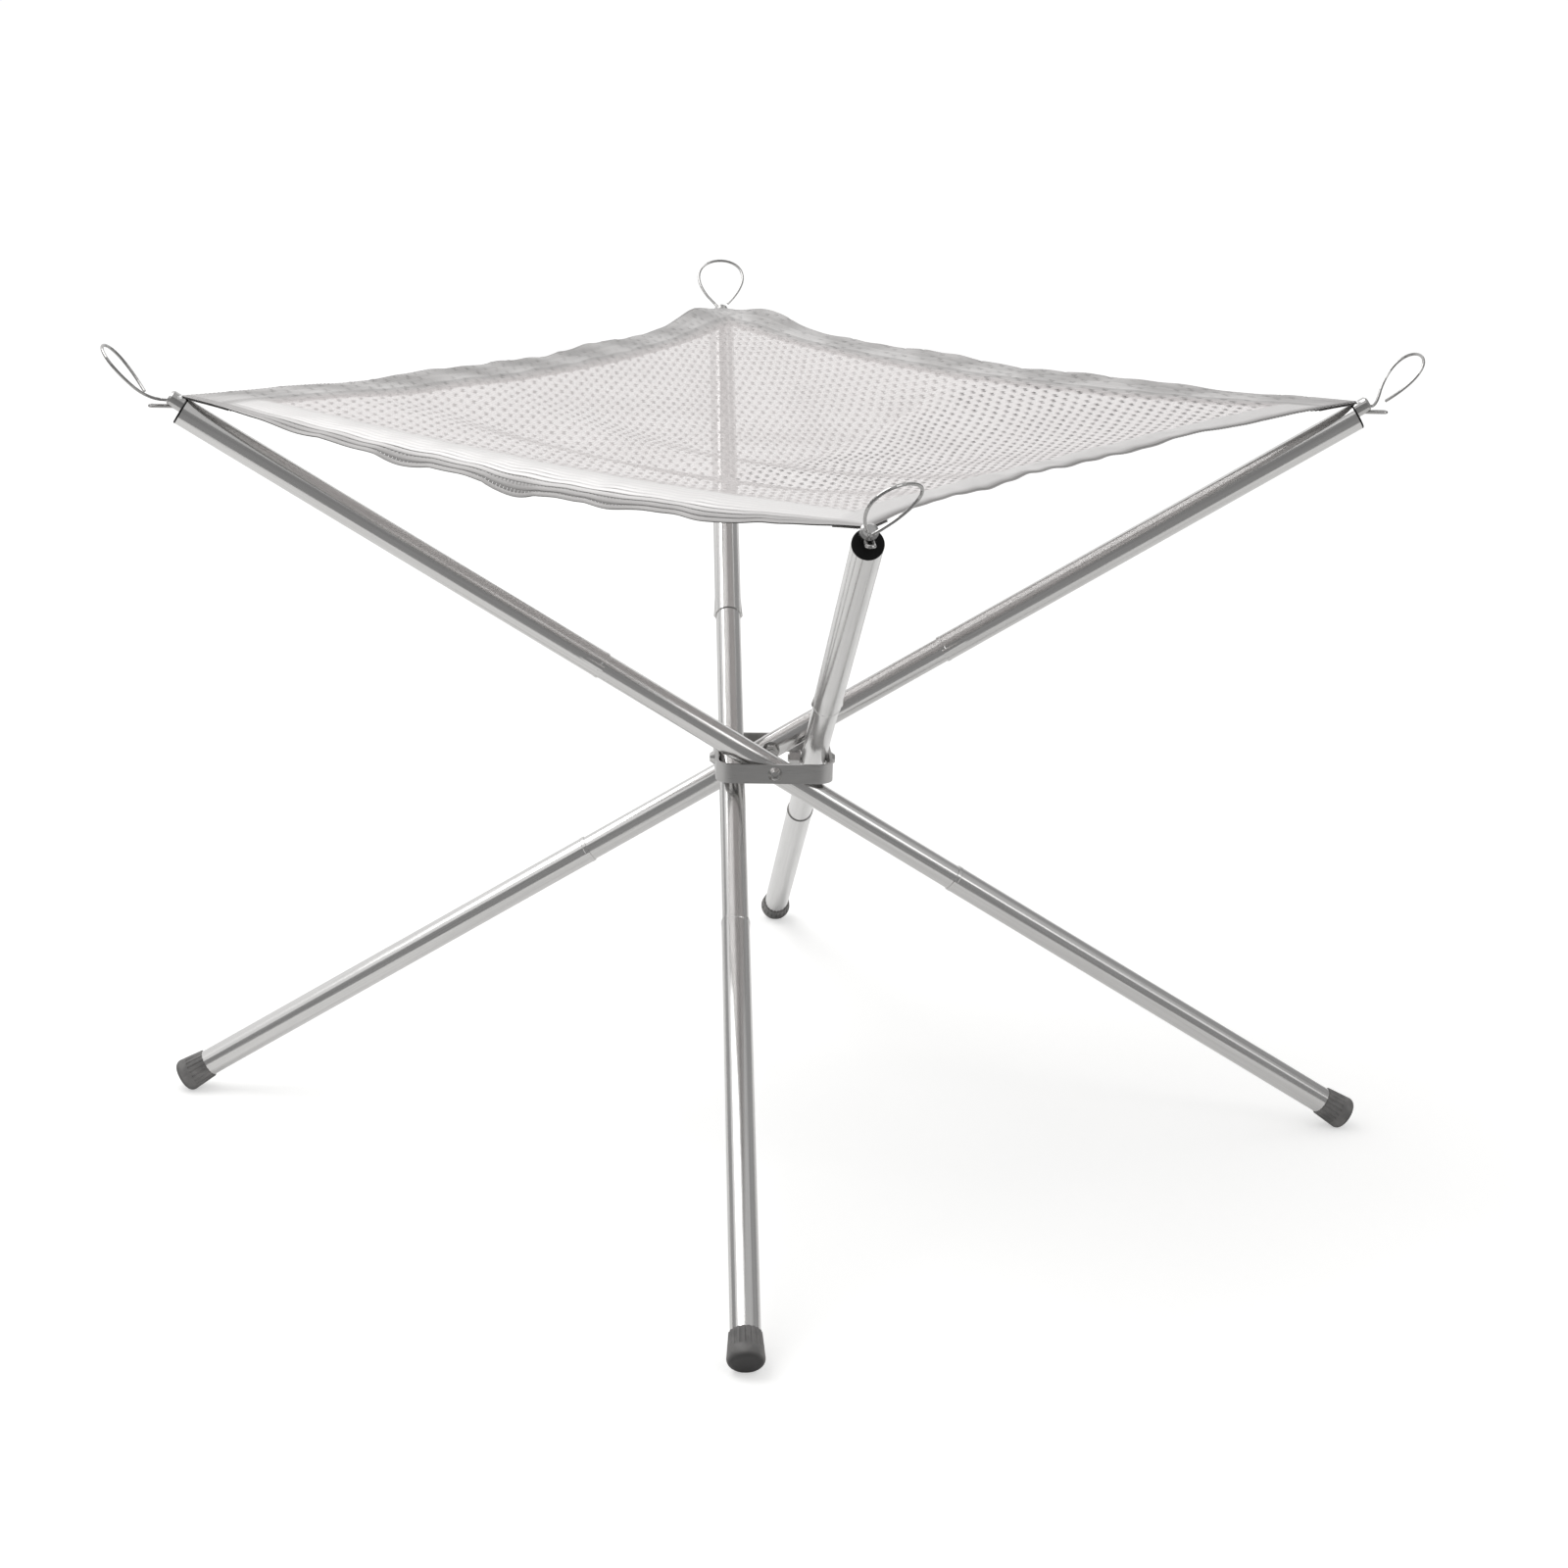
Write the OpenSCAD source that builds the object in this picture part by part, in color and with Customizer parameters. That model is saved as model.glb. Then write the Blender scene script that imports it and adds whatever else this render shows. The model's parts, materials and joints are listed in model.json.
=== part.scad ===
// Folding fire pit: four telescopic tube legs cross in a square hub ring and hold a
// square of woven wire cloth by its corners. Millimetres, +Z up, the floor at Z = 0,
// the origin on the floor below the middle of the hub.

/* [Stance] */
// Slope of the spread legs above the floor, in degrees
leg_angle = 31.3; // [28:0.1:36]

/* [Legs] */
// Pivot to the top end of the upper tube
upper_reach = 346.2; // [300:0.1:400]
// Pivot to the outer end of the rubber tip
lower_reach = 363; // [320:1:400]
// Outside diameter of the upper and lower tubes
tube_d = 14; // [12:0.1:18]
// Wall of the upper and lower tubes
tube_wall = 0.4; // [0.3:0.05:0.8]
// Wall of the middle tube
middle_wall = 0.6; // [0.4:0.05:1.2]
// Pivot to the mouth of the upper tube
upper_seam = 103; // [90:1:130]
// Pivot to the mouth of the lower tube
lower_seam = 110; // [90:1:130]
// Length of the middle tube that stays inside each outer tube
tube_overlap = 42; // [25:1:70]
// Radial play between the sliding tubes
slide_play = 0.05; // [0.02:0.01:0.1]
// Length of the rolled lip at each tube mouth
lip_l = 2; // [1:0.1:6]
// Height of the rolled lip above the tube
lip_h = 0.15; // [0.1:0.05:0.6]
// Width of the two ridges pressed out beside each mouth, in line with the pivot bolt
ridge_w = 4; // [3:0.1:6]
// Height of the upper tube's ridges at its mouth
upper_ridge_h = 0.8; // [0.2:0.1:1]
// Length of the upper tube's ridges
upper_ridge_l = 18; // [8:1:30]
// Height of the lower tube's ridges at its mouth
lower_ridge_h = 0.3; // [0.2:0.1:1]
// Length of the lower tube's ridges
lower_ridge_l = 8; // [8:1:30]

/* [Slide bushes] */
// Thickness of the collar that rubs in the outer tube
bush_collar = 3; // [2:0.1:6]
// Depth of the stem inside the middle tube
bush_stem = 9; // [5:0.5:15]
// Hole through the bush
bush_bore = 5; // [3:0.5:8]

/* [Hub] */
// Outside width of the square ring
ring_w = 60; // [56:0.5:70]
// Height of the ring's strip
ring_h = 10; // [8:0.5:14]
// Thickness of the ring's strip
ring_t = 1.5; // [1:0.1:2.5]
// Outside radius of the ring's corners
ring_r = 9; // [6:0.5:14]

/* [Pivots] */
// Diameter of the pivot bolts
bolt_d = 4; // [3:0.5:5]
// Diameter of the bolt heads
bolt_head_d = 7.6; // [6.5:0.1:9]
// Height of the bolt heads
bolt_head_h = 2.4; // [1.5:0.1:3.5]
// Diameter of the flat on top of the bolt heads
bolt_crown_d = 4.2; // [3.6:0.1:6]
// Key width of the heads' socket
bolt_key = 2.5; // [1.5:0.1:3]
// Bolt end standing past the nut
bolt_tail = 0.8; // [0.4:0.1:2]
// Radial play of the bolt in the tube and in the ring
bolt_play = 0.05; // [0.02:0.01:0.1]
// Outside diameter of the washers
washer_d = 9; // [8:0.1:11]
// Thickness of the washers
washer_t = 0.8; // [0.5:0.1:1.2]
// Gap between a washer and the tube
washer_gap = 0.02; // [0.01:0.01:0.1]
// Width of the lock nuts across their flats
nut_af = 7; // [6:0.1:8]
// Height of the lock nuts
nut_h = 5; // [3.5:0.1:6]

/* [Rubber tips] */
// Length of the tip
tip_l = 16; // [14:0.5:24]
// Wall of the tip at its mouth
tip_wall = 0.7; // [0.5:0.05:1.5]
// How far the tip flares out from its mouth to its floor end
tip_flare = 1.1; // [0.5:0.1:2]
// Rubber past the end of the tube
tip_sole = 4.5; // [3.5:0.5:7]
// Radius of the tip's floor edge
tip_edge = 3.2; // [1.5:0.1:4]
// Depth of the flat worn on the floor edge
tip_flat = 0.5; // [0.3:0.1:1]
// Number of grip flutes round the tip
flute_count = 20; // [8:1:24]
// Radius of a flute
flute_r = 0.7; // [0.5:0.05:0.9]
// Depth of the flutes
flute_depth = 0.4; // [0.2:0.05:0.45]
// Length of the flutes from the mouth
flute_l = 9; // [6:0.5:11]

/* [End plugs] */
// Thickness of the plug's flange
plug_flange = 1; // [0.8:0.1:4]
// Depth of the plug inside the tube
plug_stem = 15; // [14:0.5:24]
// Radius of the flange's outer edge
plug_edge = 0.4; // [0.2:0.1:0.6]

/* [Corner studs] */
// Diameter of the stud's pin
stud_d = 4; // [3:0.1:4.5]
// Depth of the pin in the plug
stud_depth = 13; // [8:0.5:14]
// Radial play of the pin in the plug
stud_play = 0.4; // [0.3:0.05:0.6]
// Height of the stud above the tube's axis
stud_rise = 3; // [2.4:0.1:3.4]
// Diameter of the stud's head
head_d = 8; // [7.4:0.1:9]
// Length of the stud's head
head_l = 8; // [7.5:0.1:10]
// Radius of the head's outer edge
head_edge = 1.2; // [0.5:0.1:2]
// Height of the cloth slot above the head's middle
slot_rise = 2.2; // [2:0.05:2.4]
// Room above and below the cloth in its slot
slot_room = 0.3; // [0.2:0.05:0.4]
// Depth of the cloth's corner short of the head's middle
slot_stop = 1.2; // [0.8:0.1:2]

/* [Pull loops] */
// Diameter of the wire
wire_d = 1.6; // [1.2:0.1:2]
// Radial play of the wires in the head's holes
wire_play = 0.03; // [0.02:0.01:0.08]
// Straight neck before each loop, from the head's middle
loop_neck = [13, 8, 7.5, 8]; // [7:0.5:18]
// Turn of each loop about the upright line through the end of its neck
loop_swing = [0, 35, 15, 0]; // [-45:1:45]
// Length of the loop
loop_l = 34; // [26:1:44]
// Width of the loop between wire centres
loop_w = 26; // [20:1:34]
// Slope of the loop above the floor, in degrees
loop_lean = 50; // [40:1:60]
// Height of the loop's neck above the head's middle
neck_rise = 0.4; // [0.2:0.1:0.6]

/* [Corner hooks] */
// Reach of the hook from the head's middle
hook_reach = 13; // [10:0.5:18]
// Distance between the hook's two strands
hook_w = 3.2; // [2.6:0.1:3.6]
// Depth of the hook below the head's middle
hook_drop = 2.6; // [2.2:0.1:2.8]

/* [Wire cloth] */
// Thickness of the cloth
cloth_t = 0.7; // [0.5:0.1:1]
// Width of the doubled hem
hem_w = 26; // [15:1:40]
// Number of gaps along a side
gap_count = 17; // [8:1:17]
// Width of the strands between the gaps
strand_w = 2; // [1:0.1:4]
// How far the edges bow in at their middle
edge_bow = 38; // [20:1:60]
// Sag of the cloth's middle below its corners
cloth_sag = 24; // [10:1:50]
// Extra sag of the slack edge
slack_sag = 22; // [0:1:40]
// Height of the creases beside the slack edge
crease_h = 2.5; // [0:0.1:5]
// Distance from one crease to the next
crease_gap = 84; // [50:1:120]

/* [Hidden] */

leg_count = 4;
$fn = 64;
eps = 0.01;

tube_bore = tube_d - 2 * tube_wall;
middle_d = tube_bore - 2 * slide_play;
middle_bore = middle_d - 2 * middle_wall;
middle_top = upper_seam + tube_overlap;
middle_bottom = -(lower_seam + tube_overlap);
lip_d = tube_d + 2 * lip_h;
lower_end = -(lower_reach - tip_sole);

wall_face = ring_w / 2 - ring_t;
pivot_offset = wall_face - washer_t - washer_gap - middle_d / 2;
inner_face = pivot_offset - middle_d / 2 - washer_gap;
nut_face = inner_face - washer_t;
bolt_hole_d = bolt_d + 2 * bolt_play;
bolt_end = nut_face - nut_h - bolt_tail;

tip_mouth_r = tube_d / 2 + tip_wall;
tip_end_r = tip_mouth_r + tip_flare;
pivot_h = (lower_reach - tip_edge) * sin(leg_angle)
    + (tip_end_r - tip_edge) * cos(leg_angle) + tip_edge - tip_flat;

plug_face = upper_reach + plug_flange;
stud_bore = stud_d + 2 * stud_play;
head_middle = plug_face + head_l / 2;

// The cloth's corner, measured outwards from the hub and up from the floor
corner_out = head_middle * cos(leg_angle) - stud_rise * sin(leg_angle) - slot_stop;
corner_h = pivot_h + head_middle * sin(leg_angle) + stud_rise * cos(leg_angle) + slot_rise;
corner_turn = atan2(pivot_offset, corner_out);
cloth_half = norm([corner_out, pivot_offset]) / sqrt(2);

steel = [0.76, 0.76, 0.75];
dark_steel = [0.50, 0.50, 0.49];
rubber = [0.23, 0.22, 0.22];
black = [0.07, 0.07, 0.07];
nylon = [0.86, 0.85, 0.80];
cloth = [0.80, 0.78, 0.77];

// A leg's own frame: +Z runs up the leg from the pivot, +Y along the pivot bolt
module in_leg(leg) {
    rotate([0, 0, 90 * (leg - 1)])
        translate([0, -pivot_offset, pivot_h])
            rotate([0, leg_angle - 90, 0])
                children();
}

// A level frame in the middle of a stud's head: +X runs outwards, +Z up
module at_head(leg) {
    in_leg(leg)
        translate([stud_rise, 0, head_middle])
            rotate([0, 90 - leg_angle, 0])
                rotate([0, 0, 180])
                    children();
}

// A pivot's frame on the ring: +Y runs outwards along the bolt
module at_pivots() {
    for (leg = [1:leg_count])
        rotate([0, 0, 90 * (leg - 1) + 180])
            translate([0, 0, pivot_h])
                children();
}

// Hub ring

module ring_outline(width, radius) {
    corner = width / 2 - radius;
    for (x = [-corner, corner], y = [-corner, corner])
        translate([x, y])
            circle(radius);
    square([width, 2 * corner], center = true);
    square([2 * corner, width], center = true);
}

module hub_ring() {
    color(steel)
        difference() {
            translate([0, 0, pivot_h - ring_h / 2])
                linear_extrude(ring_h)
                    ring_outline(ring_w, ring_r);
            translate([0, 0, pivot_h - ring_h / 2 - 1])
                linear_extrude(ring_h + 2)
                    ring_outline(ring_w - 2 * ring_t, ring_r - ring_t);
            at_pivots()
                rotate([-90, 0, 0])
                    cylinder(d = bolt_hole_d, h = ring_w / 2 + 1);
        }
}

module pivot_bolts() {
    color(dark_steel)
        at_pivots()
            difference() {
                rotate([-90, 0, 0]) {
                    translate([0, 0, bolt_end])
                        cylinder(d = bolt_d, h = ring_w / 2 - bolt_end + eps);
                    translate([0, 0, ring_w / 2])
                        cylinder(d1 = bolt_head_d, d2 = bolt_crown_d, h = bolt_head_h);
                }
                translate([0, ring_w / 2 + bolt_head_h / 2, 0])
                    rotate([-90, 0, 0])
                        cylinder(d = bolt_key / cos(30), h = bolt_head_h, $fn = 6);
            }
}

module washer() {
    difference() {
        cylinder(d = washer_d, h = washer_t);
        translate([0, 0, -1])
            cylinder(d = bolt_hole_d, h = washer_t + 2);
    }
}

module pivot_washers() {
    color(steel)
        at_pivots()
            rotate([-90, 0, 0]) {
                translate([0, 0, wall_face - washer_t])
                    washer();
                translate([0, 0, nut_face])
                    washer();
            }
}

module lock_nuts() {
    color(dark_steel)
        at_pivots()
            rotate([-90, 0, 0])
                translate([0, 0, nut_face - nut_h])
                    difference() {
                        cylinder(d = nut_af / cos(30), h = nut_h, $fn = 6);
                        translate([0, 0, -1])
                            cylinder(d = bolt_d, h = nut_h + 2);
                    }
}

// Legs

module middle_tube(leg) {
    color(steel)
        in_leg(leg)
            difference() {
                translate([0, 0, middle_bottom])
                    cylinder(d = middle_d, h = middle_top - middle_bottom);
                translate([0, 0, middle_bottom - 1])
                    cylinder(d = middle_bore, h = middle_top - middle_bottom + 2);
                rotate([90, 0, 0])
                    cylinder(d = bolt_hole_d, h = middle_d + 2, center = true);
            }
}

// A round ridge on the side of a tube, highest at its mouth and sunk in the wall at its end
module mouth_ridge(height, length) {
    fall = height + tube_wall / 2;
    translate([0, tube_d / 2 + height - ridge_w / 2, 0])
        rotate([atan2(fall, length), 0, 0])
            cylinder(d = ridge_w, h = norm([fall, length]));
}

// An outer tube from its lipped mouth at 0 to its plain end
module lipped_tube(length, ridge_height, ridge_length) {
    lip_slope = 2 * lip_h;
    difference() {
        union() {
            rotate_extrude()
                polygon([
                    [0, 0],
                    [lip_d / 2 - lip_h / 2, 0],
                    [lip_d / 2, lip_h / 2],
                    [lip_d / 2, lip_l],
                    [tube_d / 2, lip_l + lip_slope],
                    [tube_d / 2, length],
                    [0, length]]);
            for (side = [0, 180])
                rotate([0, 0, side])
                    mouth_ridge(ridge_height, ridge_length);
        }
        translate([0, 0, -1])
            cylinder(d = tube_bore, h = length + 2);
    }
}

module upper_tube(leg) {
    color(steel)
        in_leg(leg)
            translate([0, 0, upper_seam])
                lipped_tube(upper_reach - upper_seam, upper_ridge_h, upper_ridge_l);
}

module lower_tube(leg) {
    color(steel)
        in_leg(leg)
            translate([0, 0, -lower_seam])
                rotate([180, 0, 0])
                    lipped_tube(-lower_end - lower_seam, lower_ridge_h, lower_ridge_l);
}

module slide_bush() {
    difference() {
        union() {
            cylinder(d = tube_bore - slide_play, h = bush_collar);
            translate([0, 0, -bush_stem])
                cylinder(d = middle_bore, h = bush_stem + eps);
        }
        translate([0, 0, -bush_stem - 1])
            cylinder(d = bush_bore, h = bush_stem + bush_collar + 2);
    }
}

module slide_bushes(leg) {
    color(nylon)
        in_leg(leg) {
            translate([0, 0, middle_top])
                slide_bush();
            translate([0, 0, middle_bottom])
                rotate([180, 0, 0])
                    slide_bush();
        }
}

module end_plug(leg) {
    flange_r = tube_d / 2;
    color(black)
        in_leg(leg)
            difference() {
                translate([0, 0, upper_reach])
                    union() {
                        translate([0, 0, -plug_stem])
                            cylinder(d = tube_bore, h = plug_stem + eps);
                        cylinder(r = flange_r, h = plug_flange - plug_edge);
                        translate([0, 0, plug_flange - plug_edge - eps])
                            cylinder(r1 = flange_r, r2 = flange_r - plug_edge, h = plug_edge + eps);
                    }
                translate([stud_rise, 0, upper_reach - plug_stem - 1])
                    cylinder(d = stud_bore, h = plug_stem + plug_flange + 2);
            }
}

// Half outline of the tip, from its mouth at 0 to the floor end at -tip_l
module tip_outline() {
    arc_steps = 8;
    polygon(concat(
        [[0, 0], [tip_mouth_r, 0]],
        [for (k = [0:arc_steps])
            [tip_end_r - tip_edge + tip_edge * cos(90 * k / arc_steps),
             -tip_l + tip_edge - tip_edge * sin(90 * k / arc_steps)]],
        [[0, -tip_l]]));
}

module tip_flutes() {
    slope = atan2(tip_flare, tip_l - tip_edge);
    for (k = [0:flute_count - 1])
        rotate([0, 0, 360 * k / flute_count])
            translate([tip_mouth_r + flute_r - flute_depth, 0, 0])
                rotate([0, -slope, 0])
                    translate([0, 0, -flute_l])
                        cylinder(r = flute_r, h = flute_l + 1, $fn = 16);
}

module rubber_tip(leg) {
    floor_block = 8 * tip_end_r;
    color(rubber)
        difference() {
            in_leg(leg)
                translate([0, 0, -(lower_reach - tip_l)])
                    difference() {
                        rotate_extrude()
                            tip_outline();
                        translate([0, 0, -(tip_l - tip_sole)])
                            cylinder(d = tube_d, h = tip_l);
                        tip_flutes();
                    }
            rotate([0, 0, 90 * (leg - 1)])
                translate([lower_reach * cos(leg_angle), -pivot_offset, -floor_block / 2])
                    cube(floor_block, center = true);
        }
}

// Corner studs, loops and hooks

module corner_stud(leg) {
    hole_d = wire_d + 2 * wire_play;
    head_r = head_d / 2;
    color(steel)
        difference() {
            in_leg(leg)
                translate([stud_rise, 0, plug_face]) {
                    translate([0, 0, -stud_depth])
                        cylinder(d = stud_d, h = stud_depth + eps);
                    cylinder(r = head_r, h = head_l - head_edge);
                    translate([0, 0, head_l - head_edge - eps])
                        cylinder(r1 = head_r, r2 = head_r - head_edge, h = head_edge + eps);
                }
            at_head(leg) {
                translate([-slot_stop, 0, neck_rise])
                    rotate([0, 90, 0])
                        cylinder(d = hole_d, h = head_d + head_l);
                for (side = [-1, 1])
                    translate([-slot_stop, side * hook_w / 2, -hook_drop])
                        rotate([0, 90, 0])
                            cylinder(d = hole_d, h = head_d + head_l);
                translate([-slot_stop - head_l, 0, slot_rise])
                    cube([2 * head_l, 2 * head_d, cloth_t + 2 * slot_room], center = true);
            }
        }
}

function unit(v) = v / norm(v);

// A bent wire: rings of points square to the path, with one direction held steady
module bent_wire(path, steady, sides = 8) {
    last = len(path) - 1;
    rings = [for (i = [0:last])
        let (along = unit(path[min(i + 1, last)] - path[max(i - 1, 0)]),
             across = unit(cross(along, steady)),
             over = cross(along, across))
        for (k = [0:sides - 1])
            path[i] + wire_d / 2 * (across * cos(360 * k / sides) + over * sin(360 * k / sides))];
    walls = [for (i = [0:last - 1], k = [0:sides - 1])
        let (next = (k + 1) % sides,
             a = i * sides + k,
             b = i * sides + next,
             c = a + sides,
             d = b + sides)
        each [[a, c, b], [b, c, d]]];
    first_cap = [for (k = [1:sides - 2]) [0, k, k + 1]];
    end = last * sides;
    last_cap = [for (k = [1:sides - 2]) [end, end + k + 1, end + k]];
    polyhedron(rings, concat(walls, first_cap, last_cap));
}

// A point of the loop's drop shape: 0 and 360 degrees at the neck, 180 at the far end.
// The peak is the largest value of sin(turn) * sin(turn / 2).
drop_peak = 4 / (3 * sqrt(3));
function drop_point(turn) =
    loop_l / 2 * (1 - cos(turn)) * [cos(loop_lean), 0, sin(loop_lean)]
    + loop_w / 2 / drop_peak * sin(turn) * sin(turn / 2) * [0, 1, 0];

function swung(v, angle) =
    [v.x * cos(angle) - v.y * sin(angle), v.x * sin(angle) + v.y * cos(angle), v.z];

function bend(a, b, c, steps) =
    [for (k = [0:steps])
        let (t = k / steps)
        (1 - t) * (1 - t) * a + 2 * t * (1 - t) * b + t * t * c];

// The wire leaves the head, bends into the drop shape and ends free beside its neck
module pull_loop(leg) {
    swing = loop_swing[leg - 1];
    neck = [loop_neck[leg - 1], 0, neck_rise];
    head_exit = head_l / 2 / cos(leg_angle) + wire_d / 4;
    joined = 62;
    open_end = 318;
    step = 8;
    path = concat(
        [[-slot_stop, 0, neck_rise]],
        bend([head_exit, 0, neck_rise], neck, neck + swung(drop_point(joined), swing), 6),
        [for (turn = [joined + step:step:open_end]) neck + swung(drop_point(turn), swing)]);
    color(steel)
        at_head(leg)
            bent_wire(path, swung([-sin(loop_lean), 0, cos(loop_lean)], swing));
}

module corner_hook(leg) {
    strand = hook_w / 2;
    bend_at = hook_reach - strand;
    path = concat(
        [[-slot_stop, -strand, -hook_drop]],
        [for (turn = [-90:15:90]) [bend_at + strand * cos(turn), strand * sin(turn), -hook_drop]],
        [[-slot_stop, strand, -hook_drop]]);
    color(steel)
        at_head(leg)
            bent_wire(path, [0, 0, 1]);
}

// Wire cloth

// The square's own coordinates run from -1 to 1; +1 of the first one is the slack edge
hem = hem_w / cloth_half;
cell = (2 - 2 * hem) / gap_count;
half_strand = strand_w / 2 / cloth_half;
grid_lines = concat([-1], [for (k = [0:gap_count]) -1 + hem + k * cell], [1]);
last_line = len(grid_lines) - 1;

// How fast the slack fades towards the corners, and towards the far edge
slack_corner_power = 1.5;
slack_edge_power = 3;

// Depth below the corners: the sag, the slack, and creases halfway to the slack edge
function sheet_drop(u, v) =
    let (across = 1 - v * v,
         middle = across * (1 - u * u),
         slack = pow(across, slack_corner_power) * pow((1 + u) / 2, slack_edge_power),
         halfway = 4 * max(0, u) * (1 - u),
         ripple = sin(360 * u * cloth_half / crease_gap) * across * halfway)
    cloth_sag * middle + slack_sag * slack + crease_h * ripple;

function sheet_point(u, v, side) =
    let (bow = edge_bow / cloth_half,
         a = u * (1 - bow * (1 - v * v)) * cloth_half,
         b = v * (1 - bow * (1 - u * u)) * cloth_half)
    [(b - a) / sqrt(2), -(a + b) / sqrt(2),
     corner_h - sheet_drop(u, v) + side * cloth_t / 2];

function is_gap(i, j) = i > 0 && j > 0 && i < last_line - 1 && j < last_line - 1;

// A sheet with two faces: points on the grid lines, a rim of four points in each gap,
// and walls in the gaps and round the outside
module wire_cloth() {
    lines = last_line + 1;
    points_per_face = lines * lines;
    gaps_per_face = gap_count * gap_count;
    cell_turn = [[0, 0], [1, 0], [1, 1], [0, 1]];
    grid_points = [for (side = [-1, 1], u = grid_lines, v = grid_lines) sheet_point(u, v, side)];
    rim_points = [for (side = [-1, 1], i = [1:gap_count], j = [1:gap_count], turn = cell_turn)
        sheet_point(
            grid_lines[i + turn.x] + half_strand * (1 - 2 * turn.x),
            grid_lines[j + turn.y] + half_strand * (1 - 2 * turn.y), side)];
    outline = concat(
        [for (k = [0:last_line - 1]) [k, 0]],
        [for (k = [0:last_line - 1]) [last_line, k]],
        [for (k = [0:last_line - 1]) [last_line - k, last_line]],
        [for (k = [0:last_line - 1]) [0, last_line - k]]);
    function grid_at(face, place) = face * points_per_face + place.x * lines + place.y;
    function cell_corners(face, i, j) = [for (turn = cell_turn) grid_at(face, [i, j] + turn)];
    function rim_corners(face, i, j) =
        let (gap = face * gaps_per_face + (i - 1) * gap_count + j - 1)
        [for (k = [0:3]) 2 * points_per_face + 4 * gap + k];
    // Two triangles of a strip between two pairs of points, facing up or down
    function strip(a, b, c, d, up) = up ? [[a, c, b], [b, c, d]] : [[a, b, c], [b, d, c]];
    // A flat cell, or the frame of strands round a gap
    function cell_faces(face, i, j) =
        let (quad = cell_corners(face, i, j), up = face == 1)
        is_gap(i, j)
            ? [for (k = [0:3])
                let (n = (k + 1) % 4, rim = rim_corners(face, i, j))
                each strip(quad[k], quad[n], rim[k], rim[n], up)]
            : strip(quad[0], quad[1], quad[3], quad[2], up);
    sheet_faces = [for (face = [0, 1], i = [0:last_line - 1], j = [0:last_line - 1])
        each cell_faces(face, i, j)];
    gap_walls = [for (i = [1:gap_count], j = [1:gap_count], k = [0:3])
        let (low = rim_corners(0, i, j), high = rim_corners(1, i, j), n = (k + 1) % 4)
        each strip(low[k], low[n], high[k], high[n], false)];
    outer_walls = [for (k = [0:len(outline) - 1])
        let (here = outline[k], next = outline[(k + 1) % len(outline)])
        each strip(grid_at(0, here), grid_at(0, next), grid_at(1, here), grid_at(1, next), true)];
    color(cloth)
        rotate([0, 0, corner_turn])
            polyhedron(concat(grid_points, rim_points), concat(sheet_faces, gap_walls, outer_walls));
}

hub_ring();
pivot_bolts();
pivot_washers();
lock_nuts();
wire_cloth();
for (leg = [1:leg_count]) {
    middle_tube(leg);
    upper_tube(leg);
    lower_tube(leg);
    slide_bushes(leg);
    end_plug(leg);
    rubber_tip(leg);
    corner_stud(leg);
    pull_loop(leg);
    corner_hook(leg);
}
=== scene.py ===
import json
import math

import bpy
import numpy as np
from mathutils import Matrix, Vector


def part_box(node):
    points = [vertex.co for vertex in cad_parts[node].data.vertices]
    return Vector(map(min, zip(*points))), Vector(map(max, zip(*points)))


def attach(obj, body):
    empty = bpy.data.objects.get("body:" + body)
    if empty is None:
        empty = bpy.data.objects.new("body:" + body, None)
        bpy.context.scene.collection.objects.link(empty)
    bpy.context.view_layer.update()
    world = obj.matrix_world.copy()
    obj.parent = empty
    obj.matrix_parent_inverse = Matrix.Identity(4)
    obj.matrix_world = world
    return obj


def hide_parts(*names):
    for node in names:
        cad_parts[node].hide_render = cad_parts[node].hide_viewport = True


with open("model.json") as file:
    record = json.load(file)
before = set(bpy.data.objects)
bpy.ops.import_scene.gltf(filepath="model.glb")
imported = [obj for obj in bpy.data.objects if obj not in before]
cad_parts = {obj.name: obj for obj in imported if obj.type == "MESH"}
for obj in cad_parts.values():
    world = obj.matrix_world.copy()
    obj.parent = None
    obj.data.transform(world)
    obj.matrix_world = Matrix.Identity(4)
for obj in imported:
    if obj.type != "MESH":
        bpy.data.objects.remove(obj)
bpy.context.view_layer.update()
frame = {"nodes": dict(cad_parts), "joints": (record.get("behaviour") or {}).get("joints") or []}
nodes = frame["nodes"]
joints = {joint["name"]: joint for joint in frame["joints"]}
MM = 0.001
LEGS = (1, 2, 3, 4)


# Small tools

def srgb(code):
    """An sRGB hex value as the linear colour that a shader takes."""
    channels = [int(code[k:k + 2], 16) / 255 for k in (1, 3, 5)]
    linear = [c / 12.92 if c <= 0.04045 else ((c + 0.055) / 1.055) ** 2.4 for c in channels]
    return (*linear, 1.0)


def add(tree, kind, inputs=None, **settings):
    """A node with its settings; inputs holds a value or a linked socket for each of its sockets."""
    made = tree.nodes.new(kind)
    for name, value in settings.items():
        setattr(made, name, value)
    for key, value in (inputs or {}).items():
        if isinstance(value, bpy.types.NodeSocket):
            tree.links.new(value, made.inputs[key])
        else:
            made.inputs[key].default_value = value
    return made


def new_material(name):
    """A material with an empty tree and its output node."""
    material = bpy.data.materials.new(name)
    material.use_nodes = True
    tree = material.node_tree
    tree.nodes.clear()
    return material, tree, add(tree, "ShaderNodeOutputMaterial")


def show(obj):
    bpy.context.scene.collection.objects.link(obj)
    return obj


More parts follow.
